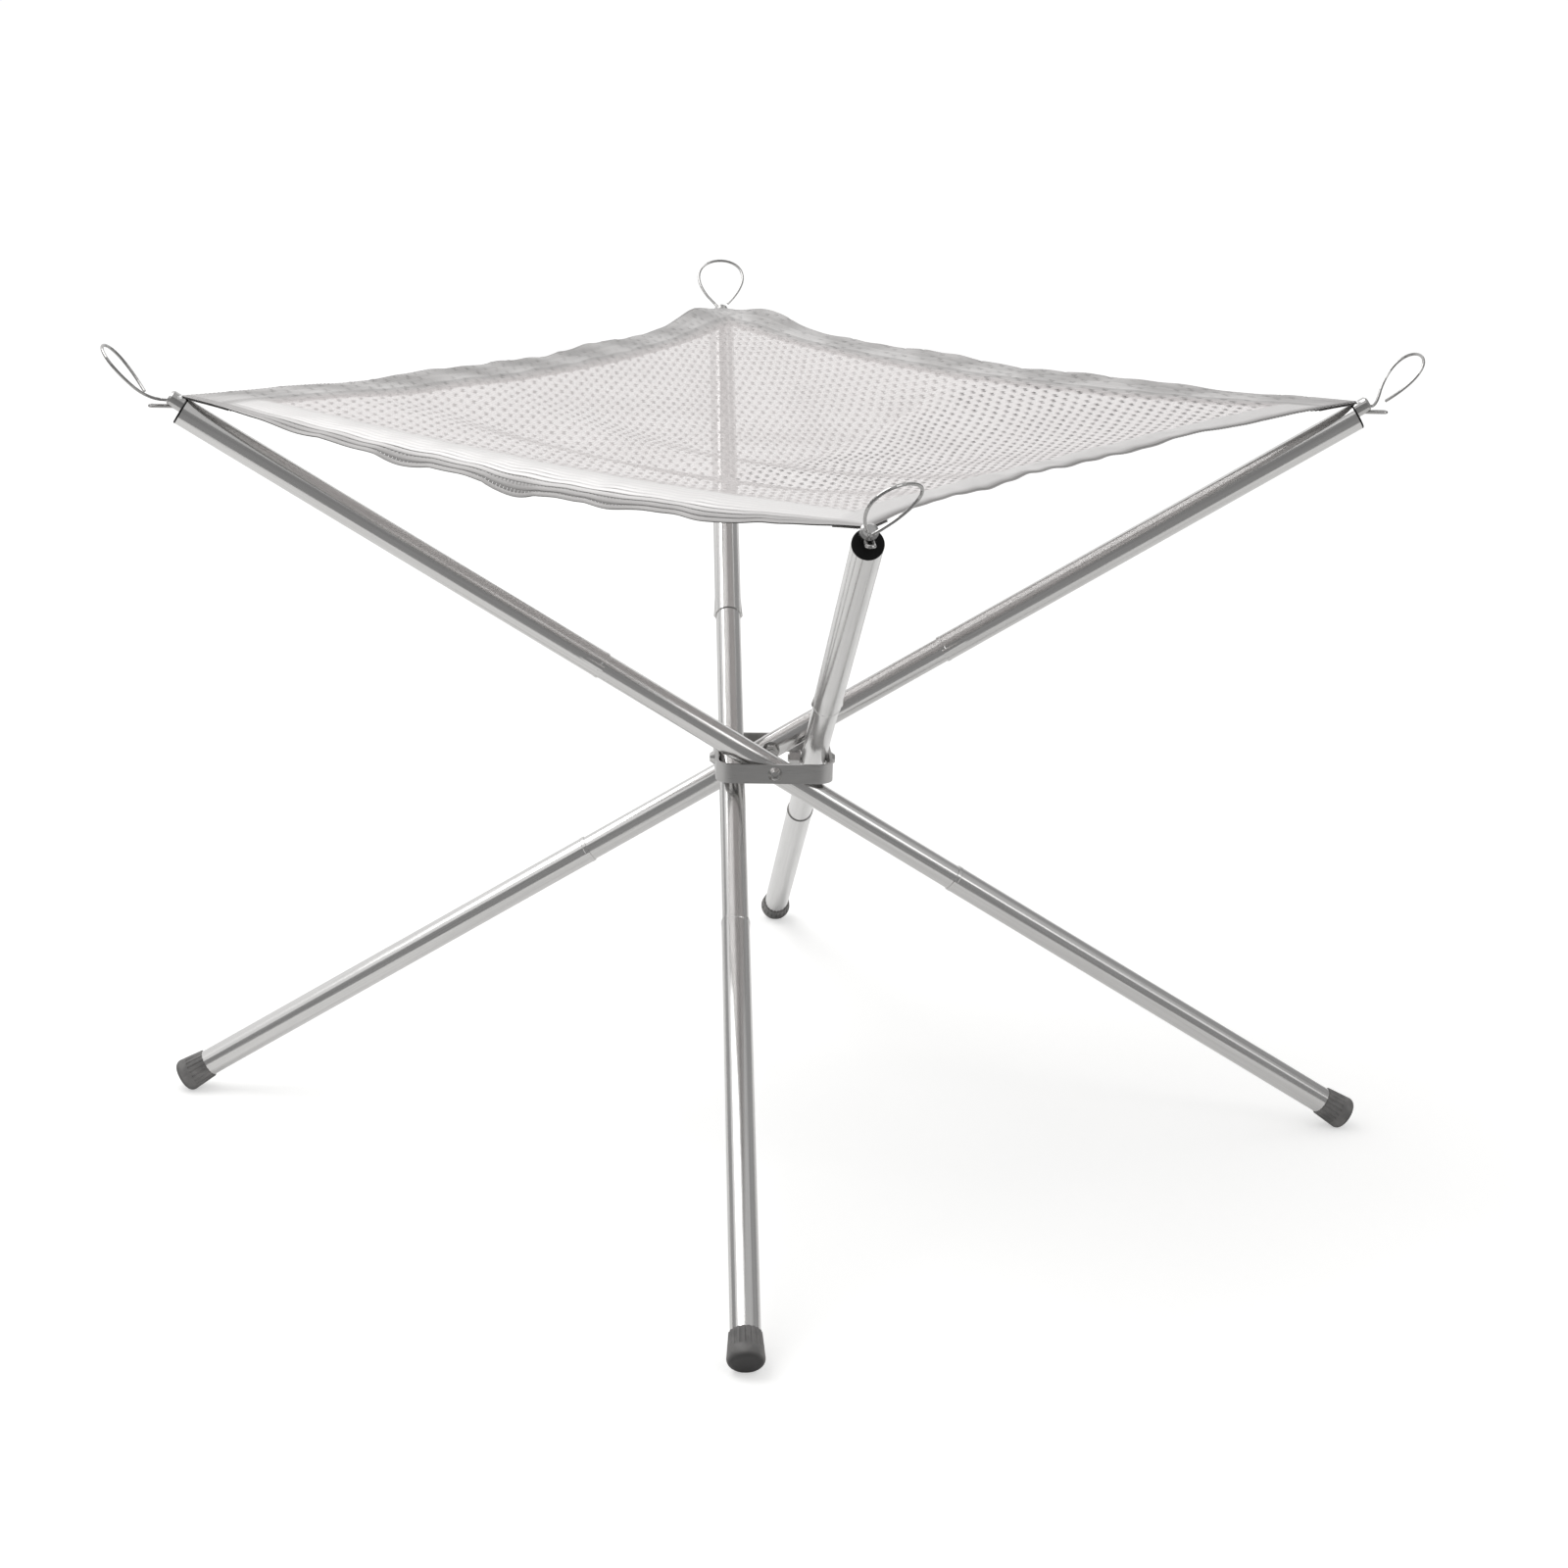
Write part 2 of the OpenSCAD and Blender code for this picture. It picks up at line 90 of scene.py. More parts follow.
def leg_matrix(leg):
    """A leg's own frame at rest: +Z up the leg from its pivot, +Y along its bolt."""
    fold, slide = joints[f"leg_{leg}_fold"], joints[f"lower_leg_{leg}_slide"]
    up, bolt = Vector(slide["axis"]), Vector(fold["axis"])
    across = bolt.cross(up)
    turn = Matrix((across, bolt, up)).transposed().to_4x4()
    return Matrix.Translation(fold["pos_m"]) @ turn


# Camera, fitted to the photograph: the picture is 1600 pixels square

PICTURE = 1600
FOCAL_PX = 3292.6
PRINCIPAL_PX = (787.7, 789.1)
TARGET = Vector((0, 0, 0.186))
DISTANCE = 1.6729
AZIMUTH, ELEVATION, ROLL = (math.radians(a) for a in (-3.111, 16.690, 1.566))
SENSOR = 36.0


def make_camera():
    data = bpy.data.cameras.new("photo_camera")
    data.sensor_width = SENSOR
    data.lens = FOCAL_PX / PICTURE * SENSOR
    data.shift_x = 0.5 - PRINCIPAL_PX[0] / PICTURE
    data.shift_y = PRINCIPAL_PX[1] / PICTURE - 0.5
    back = Vector((
        math.sin(AZIMUTH) * math.cos(ELEVATION),
        -math.cos(AZIMUTH) * math.cos(ELEVATION),
        math.sin(ELEVATION)))
    level = Vector((math.cos(AZIMUTH), math.sin(AZIMUTH), 0))
    upright = back.cross(level)
    right = level * math.cos(ROLL) + upright * math.sin(ROLL)
    up = upright * math.cos(ROLL) - level * math.sin(ROLL)
    camera = show(bpy.data.objects.new("photo_camera", data))
    turn = Matrix((right, up, back)).transposed().to_4x4()
    camera.matrix_world = Matrix.Translation(TARGET + back * DISTANCE) @ turn
    bpy.context.scene.camera = camera


make_camera()


# Studio: a white floor and world, a large soft lamp above the left, a smaller one at the right

FLOOR_SIZE = 30.0
FLOOR_ALBEDO = "#E1E1E0"
# Light from all round, and the floor's own glow near the part and far from it, seen by the camera;
# gloss sees a share of that glow
FILL = 0.62
FLOOR_GLOW_NEAR, FLOOR_GLOW_FAR = 0.46, 0.56
FLOOR_GLOW_IN_GLOSS = 0.46
NEAR_FLOOR, FAR_FLOOR = 0.5, 1.5
WHITE = (1, 1, 1, 1)


def make_plane(name, width, depth):
    """A flat rectangle about its own origin."""
    mesh = bpy.data.meshes.new(name)
    x, y = width / 2, depth / 2
    mesh.from_pydata([(-x, -y, 0), (x, -y, 0), (x, y, 0), (-x, y, 0)], [], [(0, 1, 2, 3)])
    return show(bpy.data.objects.new(name, mesh))


def looking_at_hub(toward, distance):
    """A place in that direction from the middle of the part, turned to face it."""
    direction = Vector(toward).normalized()
    turn = direction.to_track_quat("Z", "Y").to_matrix().to_4x4()
    return Matrix.Translation(TARGET + direction * distance) @ turn


def make_world():
    """Soft light from all round, which the camera, gloss and glass see as plain white."""
    world = bpy.data.worlds.new("white_studio")
    bpy.context.scene.world = world
    world.use_nodes = True
    tree = world.node_tree
    tree.nodes.clear()
    path = add(tree, "ShaderNodeLightPath")
    camera_or_gloss = add(tree, "ShaderNodeMath", {
        0: path.outputs["Is Camera Ray"], 1: path.outputs["Is Glossy Ray"]}, operation="MAXIMUM")
    seen = add(tree, "ShaderNodeMath", {
        0: camera_or_gloss.outputs[0], 1: path.outputs["Is Transmission Ray"]}, operation="MAXIMUM")
    fill = add(tree, "ShaderNodeBackground", {"Color": WHITE, "Strength": FILL})
    white = add(tree, "ShaderNodeBackground", {"Color": WHITE, "Strength": 1.0})
    mix = add(tree, "ShaderNodeMixShader", {0: seen.outputs[0], 1: fill.outputs[0], 2: white.outputs[0]})
    add(tree, "ShaderNodeOutputWorld", {"Surface": mix.outputs[0]})


def make_floor():
    """White paper that glows a little, so that it goes white and keeps only the close shadows."""
    floor = make_plane("floor", FLOOR_SIZE, FLOOR_SIZE)
    material, tree, output = new_material("white_paper_floor")
    paper = add(tree, "ShaderNodeBsdfDiffuse", {"Color": srgb(FLOOR_ALBEDO)})
    away = add(tree, "ShaderNodeVectorMath", {
        0: add(tree, "ShaderNodeTexCoord").outputs["Object"]}, operation="LENGTH")
    level = add(tree, "ShaderNodeMapRange", {
        "Value": away.outputs["Value"], "From Min": NEAR_FLOOR, "From Max": FAR_FLOOR,
        "To Min": FLOOR_GLOW_NEAR, "To Max": FLOOR_GLOW_FAR}, interpolation_type="SMOOTHSTEP")
    path = add(tree, "ShaderNodeLightPath")
    seen = add(tree, "ShaderNodeMath", {
        0: path.outputs["Is Glossy Ray"], 1: FLOOR_GLOW_IN_GLOSS, 2: path.outputs["Is Camera Ray"]},
        operation="MULTIPLY_ADD")
    glow_level = add(tree, "ShaderNodeMath", {
        0: seen.outputs[0], 1: level.outputs[0]}, operation="MULTIPLY")
    glow = add(tree, "ShaderNodeEmission", {"Color": WHITE, "Strength": glow_level.outputs[0]})
    both = add(tree, "ShaderNodeAddShader", {0: paper.outputs[0], 1: glow.outputs[0]})
    tree.links.new(both.outputs[0], output.inputs["Surface"])
    floor.data.materials.append(material)


def make_lamp(name, toward, distance, size, radiance):
    """A soft lamp that looks at the hub; radiance 1 shows as white in a mirror."""
    data = bpy.data.lights.new(name, "AREA")
    data.shape = "RECTANGLE"
    data.size, data.size_y = size
    data.energy = radiance * math.pi * size[0] * size[1]
    lamp = show(bpy.data.objects.new(name, data))
    lamp.matrix_world = looking_at_hub(toward, distance)


def make_card(name, toward, distance, size, grey):
    """A plain grey card that only shows in gloss, so that polished tube has its dark bands."""
    card = make_plane(name, *size)
    card.matrix_world = looking_at_hub(toward, distance)
    material, tree, output = new_material(name)
    glow = add(tree, "ShaderNodeEmission", {"Color": srgb(grey), "Strength": 1.0})
    tree.links.new(glow.outputs[0], output.inputs["Surface"])
    card.data.materials.append(material)
    card.visible_camera = False
    card.visible_diffuse = False
    card.visible_shadow = False
    card.visible_transmission = False


# Lamps and cards: the direction from the hub, the distance and the size in metres, then the level
bpy.context.scene.view_settings.view_transform = "Standard"
make_world()
make_floor()
make_lamp("left_softbox", (-0.46, 0.12, 0.85), 1.9, (1.5, 1.3), 2.4)
make_lamp("right_softbox", (0.55, -0.55, 0.62), 2.2, (0.5, 0.9), 1.7)
make_card("front_card", (0, -1, 0.25), 3.2, (6.0, 3.2), "#8F8F8F")
make_card("ceiling_card", (0.3, -0.2, 1), 2.6, (4.2, 4.2), "#CCCCCC")
make_card("low_card", (0, -0.45, -0.05), 0.45, (3.0, 0.5), "#989898")
make_card("right_card", (1, 0.3, 0.3), 3.0, (4.5, 3.2), "#A6A6A6")
make_card("left_card", (-1, 0.1, 0.12), 3.0, (4.5, 2.2), "#A8A8A8")


# Materials

def tube_steel(leg):
    """Stainless tube, drawn and then polished along its length: a mirror with faint long lines,
    so light lies on it in long bands. The lines are drawn wider than real to show at all."""
    line_across, line_along = 1.0 * MM, 70 * MM
    smear_across, smear_along = 6 * MM, 35 * MM
    material, tree, output = new_material(f"polished_stainless_tube_{leg}")
    place = add(tree, "ShaderNodeTexCoord").outputs["Object"]
    axes = leg_matrix(leg)
    along_tube = {"Vector": place, "Location": axes.translation, "Rotation": axes.to_euler()}
    lines_at = add(tree, "ShaderNodeMapping", {
        **along_tube, "Scale": (line_across, line_across, line_along)}, vector_type="TEXTURE")
    lines = add(tree, "ShaderNodeTexNoise", {"Vector": lines_at.outputs[0], "Scale": 1.0, "Detail": 3.0})
    smears_at = add(tree, "ShaderNodeMapping", {
        **along_tube, "Scale": (smear_across, smear_across, smear_along)}, vector_type="TEXTURE")
    smears = add(tree, "ShaderNodeTexNoise", {"Vector": smears_at.outputs[0], "Scale": 1.0, "Detail": 4.0})
    rough = add(tree, "ShaderNodeMapRange", {
        "Value": smears.outputs["Fac"], "From Min": 0.3, "From Max": 0.75, "To Min": 0.14, "To Max": 0.24})
    tint = add(tree, "ShaderNodeMapRange", {
        "Value": lines.outputs["Fac"], "From Min": 0.25, "From Max": 0.75, "To Min": 0.0, "To Max": 1.0})
    colour = add(tree, "ShaderNodeMix", {
        0: tint.outputs[0], 6: srgb("#CCCBCA"), 7: srgb("#D9D8D7")}, data_type="RGBA")
    bump = add(tree, "ShaderNodeBump", {
        "Height": lines.outputs["Fac"], "Strength": 0.05, "Distance": 0.1 * MM})
    steel = add(tree, "ShaderNodeBsdfPrincipled", {
        "Base Color": colour.outputs[2], "Metallic": 1.0, "Roughness": rough.outputs[0],
        "Normal": bump.outputs[0]})
    tree.links.new(steel.outputs[0], output.inputs["Surface"])
    return material


def plain_steel(name, light, dark, roughness, grain):
    """Stainless strip, bolt or wire: duller than the tubes, with a fine grain from rolling."""
    material, tree, output = new_material(name)
    place = add(tree, "ShaderNodeTexCoord").outputs["Object"]
    grain_at = add(tree, "ShaderNodeMapping", {"Vector": place, "Scale": grain}, vector_type="TEXTURE")
    noise = add(tree, "ShaderNodeTexNoise", {"Vector": grain_at.outputs[0], "Scale": 1.0, "Detail": 4.0})
    rough = add(tree, "ShaderNodeMapRange", {
        "Value": noise.outputs["Fac"], "From Min": 0.3, "From Max": 0.7,
        "To Min": roughness - 0.06, "To Max": roughness + 0.06})
    colour = add(tree, "ShaderNodeMix", {
        0: noise.outputs["Fac"], 6: srgb(dark), 7: srgb(light)}, data_type="RGBA")
    bump = add(tree, "ShaderNodeBump", {
        "Height": noise.outputs["Fac"], "Strength": 0.12, "Distance": 0.1 * MM})
    steel = add(tree, "ShaderNodeBsdfPrincipled", {
        "Base Color": colour.outputs[2], "Metallic": 1.0, "Roughness": rough.outputs[0],
        "Normal": bump.outputs[0]})
    tree.links.new(steel.outputs[0], output.inputs["Surface"])
    return material


# Share of the light that goes through one layer of strands
STRAND_GAPS = 0.5


def woven_steel():
    """Cloth of fine stainless wire: countless thin wires scatter light, so it is pale and far less
    mirror-like than a bar. A strand is a bundle of finer wires, so part of the light goes through
    it, as a leg behind the cloth shows. A knot, where the weft comes up over the warp, is painted
    dark as shade, darkest where the cloth is pulled open, and each strip's edges get a little
    painted shade. The doubled hem lets no light through, and its grey is painted shade, strongest
    on the hems that face away from the light, uneven in lines and in blotches where it is
    crumpled, and under the slack hems' rolled lips."""
    material, tree, output = new_material("woven_stainless_wire")
    knot, crown, hem, grey, pulled_open_shade = (
        add(tree, "ShaderNodeAttribute", attribute_name=mark).outputs["Fac"]
        for mark in ("knot", "crown", "hem", "grey", "pulled_open_shade"))
    # Painted shade: knots are dark, darkest where the cloth is pulled open
    knots_painted_dark = add(tree, "ShaderNodeMix", {
        0: pulled_open_shade, 6: srgb("#BDB8B7"), 7: srgb("#5A5655")}, data_type="RGBA")
    strands = add(tree, "ShaderNodeMix", {
        0: pulled_open_shade, 6: srgb("#E9E4E3"), 7: srgb("#ECE7E6")}, data_type="RGBA")
    net = add(tree, "ShaderNodeMix", {
        0: knot, 6: strands.outputs[2], 7: knots_painted_dark.outputs[2]}, data_type="RGBA")
    # Painted shade on the doubled hem: the grey mark sets how dark it is
    hem_knots_shaded = add(tree, "ShaderNodeMix", {
        0: grey, 6: srgb("#CFCDCC"), 7: srgb("#908E8D")}, data_type="RGBA")
    hem_strands_shaded = add(tree, "ShaderNodeMix", {
        0: grey, 6: srgb("#E6E4E3"), 7: srgb("#ADABAA")}, data_type="RGBA")
    doubled = add(tree, "ShaderNodeMix", {
        0: knot, 6: hem_strands_shaded.outputs[2], 7: hem_knots_shaded.outputs[2]}, data_type="RGBA")
    cloth = add(tree, "ShaderNodeMix", {
        0: hem, 6: net.outputs[2], 7: doubled.outputs[2]}, data_type="RGBA")
    # Painted shade: each strip is a little darker at its edges than along its crown
    crown_shade = add(tree, "ShaderNodeMapRange", {"Value": crown, "To Min": 0.9, "To Max": 1.0})
    colour = add(tree, "ShaderNodeVectorMath", {
        0: cloth.outputs[2], "Scale": crown_shade.outputs[0]}, operation="SCALE")
    steel = add(tree, "ShaderNodeBsdfPrincipled", {
        "Base Color": colour.outputs[0], "Metallic": 0.2, "Roughness": 0.42})
    closed = add(tree, "ShaderNodeMath", {0: hem, 1: knot}, operation="MAXIMUM")
    single = add(tree, "ShaderNodeMapRange", {
        "Value": closed.outputs[0], "To Min": STRAND_GAPS, "To Max": 0.0})
    gaps = add(tree, "ShaderNodeBsdfTransparent")
    wires = add(tree, "ShaderNodeMixShader", {
        0: single.outputs[0], 1: steel.outputs[0], 2: gaps.outputs[0]})
    tree.links.new(wires.outputs[0], output.inputs["Surface"])
    return material


# Painted shade on the down-facing sole, and how far up from the foot's end it is full and fades out
SOLE_SHADE = "#363535"
SOLE_FACE, SOLE_SIDE = 0.6 * MM, 2.2 * MM


def moulded(name, light, dark, roughness, grain_mm, depth_mm, ior=1.5, foot_of=None):
    """Moulded rubber or plastic: no metal, a fine spark-eroded grain, dust paler in its grain. The
    sole of a leg's foot faces down and is painted dark as shade, darker than its dusty side."""
    material, tree, output = new_material(name)
    place = add(tree, "ShaderNodeTexCoord").outputs["Object"]
    grain = add(tree, "ShaderNodeTexNoise", {
        "Vector": place, "Scale": 1 / (grain_mm * MM), "Detail": 2.0})
    dust = add(tree, "ShaderNodeTexNoise", {"Vector": place, "Scale": 1 / (9 * MM), "Detail": 5.0})
    worn = add(tree, "ShaderNodeMapRange", {
        "Value": dust.outputs["Fac"], "From Min": 0.4, "From Max": 0.75})
    colour = add(tree, "ShaderNodeMix", {
        0: worn.outputs[0], 6: srgb(dark), 7: srgb(light)}, data_type="RGBA")
    # Painted shade: the foot's sole, which faces down, is painted dark at its end, fading out up its side
    if foot_of:
        axes = leg_matrix(foot_of)
        to_leg = axes.inverted()
        end = min((to_leg @ vertex.co).z for vertex in nodes[f"rubber_tip_{foot_of}"].data.vertices)
        in_leg = add(tree, "ShaderNodeMapping", {
            "Vector": place, "Location": axes.translation, "Rotation": axes.to_euler()},
            vector_type="TEXTURE")
        along = add(tree, "ShaderNodeSeparateXYZ", {0: in_leg.outputs[0]})
        sole_shade = add(tree, "ShaderNodeMapRange", {
            "Value": along.outputs["Z"], "From Min": end + SOLE_SIDE, "From Max": end + SOLE_FACE})
        colour = add(tree, "ShaderNodeMix", {
            0: sole_shade.outputs[0], 6: colour.outputs[2], 7: srgb(SOLE_SHADE)}, data_type="RGBA")
    bump = add(tree, "ShaderNodeBump", {
        "Height": grain.outputs["Fac"], "Strength": 0.35, "Distance": depth_mm * MM})
    body = add(tree, "ShaderNodeBsdfPrincipled", {
        "Base Color": colour.outputs[2], "Roughness": roughness, "IOR": ior, "Normal": bump.outputs[0]})
    tree.links.new(body.outputs[0], output.inputs["Surface"])
    return material


strip_grain = (9 * MM, 9 * MM, 0.5 * MM)
even_grain = (0.8 * MM, 0.8 * MM, 0.8 * MM)
ring_steel = plain_steel("rolled_stainless_strip", "#B9B8B7", "#ABAAA9", 0.33, strip_grain)
bolt_steel = plain_steel("stainless_bolt", "#C8C7C6", "#B4B3B2", 0.18, even_grain)
loop_steel = plain_steel("drawn_stainless_wire", "#B8B7B6", "#9B9A99", 0.24, even_grain)
cloth_steel = woven_steel()
plug_plastic = moulded("black_nylon_plug", "#141414", "#0A0A0A", 0.45, 0.4, 0.05, ior=1.25)
bush_nylon = moulded("natural_nylon_bush", "#DEDBD0", "#D2CFC4", 0.45, 0.4, 0.05)


def dress(name, material):
    mesh = nodes[name].data
    mesh.materials.clear()
    mesh.materials.append(material)


dress("hub_ring", ring_steel)
for name in ("pivot_bolts", "pivot_washers", "lock_nuts"):
    dress(name, bolt_steel)
for leg in LEGS:
    steel = tube_steel(leg)
    for part in ("middle_tube", "upper_tube", "lower_tube"):
        dress(f"{part}_{leg}", steel)
    dress(f"slide_bushes_{leg}", bush_nylon)
    dress(f"end_plug_{leg}", plug_plastic)
    dress(f"rubber_tip_{leg}", moulded(
        f"moulded_rubber_tip_{leg}", "#868483", "#646362", 0.55, 0.5, 0.15, foot_of=leg))
    dress(f"corner_stud_{leg}", bolt_steel)
    dress(f"pull_loop_{leg}", loop_steel)
    dress(f"corner_hook_{leg}", loop_steel)


# Wire cloth: one flat cut, its hem folded under, hung slack between four corners

# Weave: strands across the cut and in each hem, the flat arched strip that draws a strand, how far
# it waves over and under, and how far it wanders
STRANDS, HEM_STRANDS = 216, 12
STRIP_SHARE = 0.92
STRIP_CROWN = 0.2 * MM
CRIMP = 0.18 * MM
DRIFT = 1.2 * MM
# Knots repeat after this many strands across the diagonal and along it, and are this long. The
# faintest on the net has this strength, which also sets its painted shade, and in the far hems they fade
# to none
KNOT_ACROSS, KNOT_DEEP, KNOT_LENGTH = 4, 12, 2
KNOT_FAINTEST = 0.55
SEED = 7
# Hem: the gap between its layers, less near the fold, its step up from the net, and its creases
LAYER_GAP, FOLD_GAP, FOLD_REACH = 0.9 * MM, 0.25 * MM, 8 * MM
HEM_STEP = 0.3 * MM
HEM_BLEND = 0.3
HEM_FLATTEN = 0.4
CRUMPLE = 0.22 * MM
EDGE_WAVE, WAVE_LONG, WAVE_SHORT = 0.8 * MM, 19 * MM, 10.7 * MM
# How much painted shade greys each hem, more where it faces away from the light, and how much its lines
# and blotches of painted shade vary
HEM_SHADE = {"left": 0.0, "right": 0.25, "far_left": 1.0, "far_right": 0.95}
LINE_FAINT, LINE_STRONG, CRUMPLE_SHADE = 0.45, 1.15, 0.2
# Hang: how far the edges draw in and the middle sags, and how far the near edges droop
EDGE_BOW = 38 * MM
SAG = 24 * MM
SLACK_LEFT, SLACK_RIGHT = 9 * MM, 6 * MM
DROOP_LEFT, DROOP_RIGHT = 15 * MM, 3 * MM
# Rolled lip of the slack edge: its share of the hem, and the waves in which it opens
LIP_ROLL, LIP_OPEN = 0.8 * MM, 3 * MM
LIP_SHARE = 0.28
LIP_WAVE, LIP_CREST = 63 * MM, -27 * MM
# Lifted edges beside the back stud: height, distance from the corner and width
BACK_LIFT, LIFT_AT, LIFT_W = 5.8 * MM, 45 * MM, 27 * MM
# Ripples of the slack part, and the crease, whose line is a share of the half side
RIPPLE_H, RIPPLE_GAP = 2.5 * MM, 84 * MM
CREASE_H, CREASE_W = 3.5 * MM, 16 * MM
CREASE_AT, CREASE_SLOPE = 0.08, 0.1

cloth_lo, cloth_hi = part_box("wire_cloth")
reach = (cloth_hi.x - cloth_lo.x) / 2
offset = abs(joints["leg_1_fold"]["pos_m"][1])
corner_turn = math.atan2(offset, reach)
half = math.hypot(reach, offset) / math.sqrt(2)
strand_step = 2 * half / (STRANDS - 2 * HEM_STRANDS)
HEM = HEM_STRANDS * strand_step
corner_z = cloth_hi.z - HEM_STEP


def smooth(low, high, value):
    t = np.clip((value - low) / (high - low), 0, 1)
    return t * t * (3 - 2 * t)


def folded(cut):
    """Where a point of the cut lies on the finished square, and 1 where it is in the layer below."""
    inside = np.sign(cut) * (half - np.abs(np.abs(cut) - half))
    below = np.clip((np.abs(cut) - half) / LAYER_GAP + 0.5, 0, 1)
    return inside, below


def hem_share(inside):
    """0 up to the hem's inner line, then rising to 1 at the edge."""
    return np.clip((np.abs(inside) - (half - HEM)) / HEM, 0, 1)


def in_hem_band(inside):
    """0 on the net and 1 in the hem, blended over the hem's inner part."""
    return smooth(0, HEM_BLEND, hem_share(inside))


def beside_crease(u, v):
    """How far a place lies to the right of the crease, as a share of the half side."""
    return v - (CREASE_AT + CREASE_SLOPE * u)


def tangled(one, other, short_mm, long_mm):
    """Waves of one length that wander with another, so that they don't look regular."""
    return np.sin(one / (short_mm * MM) + 2 * np.sin(other / (long_mm * MM)))


def edge_waves(along, phase):
    """Uneven waves of a loose hem, none at the corners."""
    place = along / half
    waves = np.sin(along / WAVE_LONG + phase) + 0.6 * np.sin(along / WAVE_SHORT + 2.1 * phase)
    return waves * (1 - place ** 2) ** 0.7


def upper_layer(inside_u, inside_v):
    """Points of the hung cloth for places on the finished square; +u is the slack edge, at the left."""
    u, v = inside_u / half, inside_v / half
    hem_u, hem_v = hem_share(inside_u), hem_share(inside_v)
    bow = EDGE_BOW / half
    a = u * (1 - bow * (1 - v * v)) * half
    b = v * (1 - bow * (1 - u * u)) * half
    across_u, across_v = 1 - u * u, 1 - v * v
    # Strands of a limp cloth wander, so the rows of knots do too
    a = a + DRIFT * across_u * across_v * tangled(inside_u, inside_v, 15, 31)
    b = b + DRIFT * across_u * across_v * tangled(inside_v, inside_u, 13, 27)
    # The whole sag, with more slack at the two near edges, whose hems droop
    drop = SAG * across_u * across_v
    drop = drop + SLACK_LEFT * across_v ** 1.5 * ((1 + u) / 2) ** 3
    drop = drop + SLACK_RIGHT * across_u ** 1.5 * ((1 + v) / 2) ** 3
    drop = drop + DROOP_LEFT * hem_u ** 2 * (u > 0) * across_v
    drop = drop + DROOP_RIGHT * hem_v ** 2 * (v > 0) * across_u
    # Ripples in the slack part, and one sharp crease from the middle to the far right edge
    halfway = 4 * np.maximum(0, u) * (1 - u)
    drop = drop + RIPPLE_H * np.sin(2 * np.pi * inside_u / RIPPLE_GAP) * across_v * halfway
    off_crease = np.abs(beside_crease(u, v)) * half
    along_crease = smooth(0.3, -0.2, u) * smooth(-1.0, -0.6, u)
    drop = drop + CREASE_H * np.exp(-off_crease / CREASE_W) * along_crease
    # The slack hem's lip rolls down, further in two places
    roll = np.maximum(0, np.cos(2 * np.pi * (inside_v - LIP_CREST) / LIP_WAVE))
    roll = LIP_ROLL + LIP_OPEN * roll * smooth(0.25, 0.0, v) * smooth(-1.0, -0.6, v)
    drop = drop + roll * smooth(1 - LIP_SHARE, 1, hem_u) * (u > 0) * across_v
    # Loose hem: waves along its edges, and the far corner's two edges lifted beside the stud
    waves_u, waves_v = edge_waves(inside_v, 1.0 + u), edge_waves(inside_u, 2.6 + v)
    drop = drop + EDGE_WAVE * (hem_u ** 2 * waves_u + hem_v ** 2 * waves_v)
    for share, far, from_corner in ((hem_u, u < 0, (1 + v) * half), (hem_v, v < 0, (1 + u) * half)):
        drop = drop - BACK_LIFT * share * far * np.exp(-((from_corner - LIFT_AT) / LIFT_W) ** 2)
    # The hem lies a little higher than the net, and is crumpled
    in_hem = np.maximum(in_hem_band(inside_u), in_hem_band(inside_v))
    crumpled = tangled(inside_u, inside_v, 3.7, 9) + tangled(inside_v, inside_u, 4.3, 8)
    step = in_hem * (HEM_STEP + CRUMPLE * crumpled * (1 - np.minimum(u * u, v * v)))
    x, y = (b - a) / math.sqrt(2), -(a + b) / math.sqrt(2)
    c, s = math.cos(corner_turn), math.sin(corner_turn)
    return np.stack([x * c - y * s, x * s + y * c, corner_z - drop + step], axis=-1)


def sheet_normals(inside_u, inside_v, below_u, below_v, points):
    """Normals of the cloth: up on the upper layer, outward at a fold and down on the layer below; and
    the upper layer's alone."""
    step = 0.2 * MM
    inward_u, inward_v = (np.where(inside < 0, step, -step) for inside in (inside_u, inside_v))
    out_u = points - upper_layer(inside_u + inward_u, inside_v)
    out_v = points - upper_layer(inside_u, inside_v + inward_v)
    up = np.cross(out_u, out_v)
    up, out_u, out_v = (way / np.linalg.norm(way, axis=-1, keepdims=True)
                        for way in (up * np.sign(up[..., 2:]), out_u, out_v))
    turn_u, turn_v = np.pi * below_u[..., None], np.pi * below_v[..., None]
    normals = up * np.cos(turn_u) * np.cos(turn_v) + out_u * np.sin(turn_u) + out_v * np.sin(turn_v)
    return normals / np.linalg.norm(normals, axis=-1, keepdims=True), up


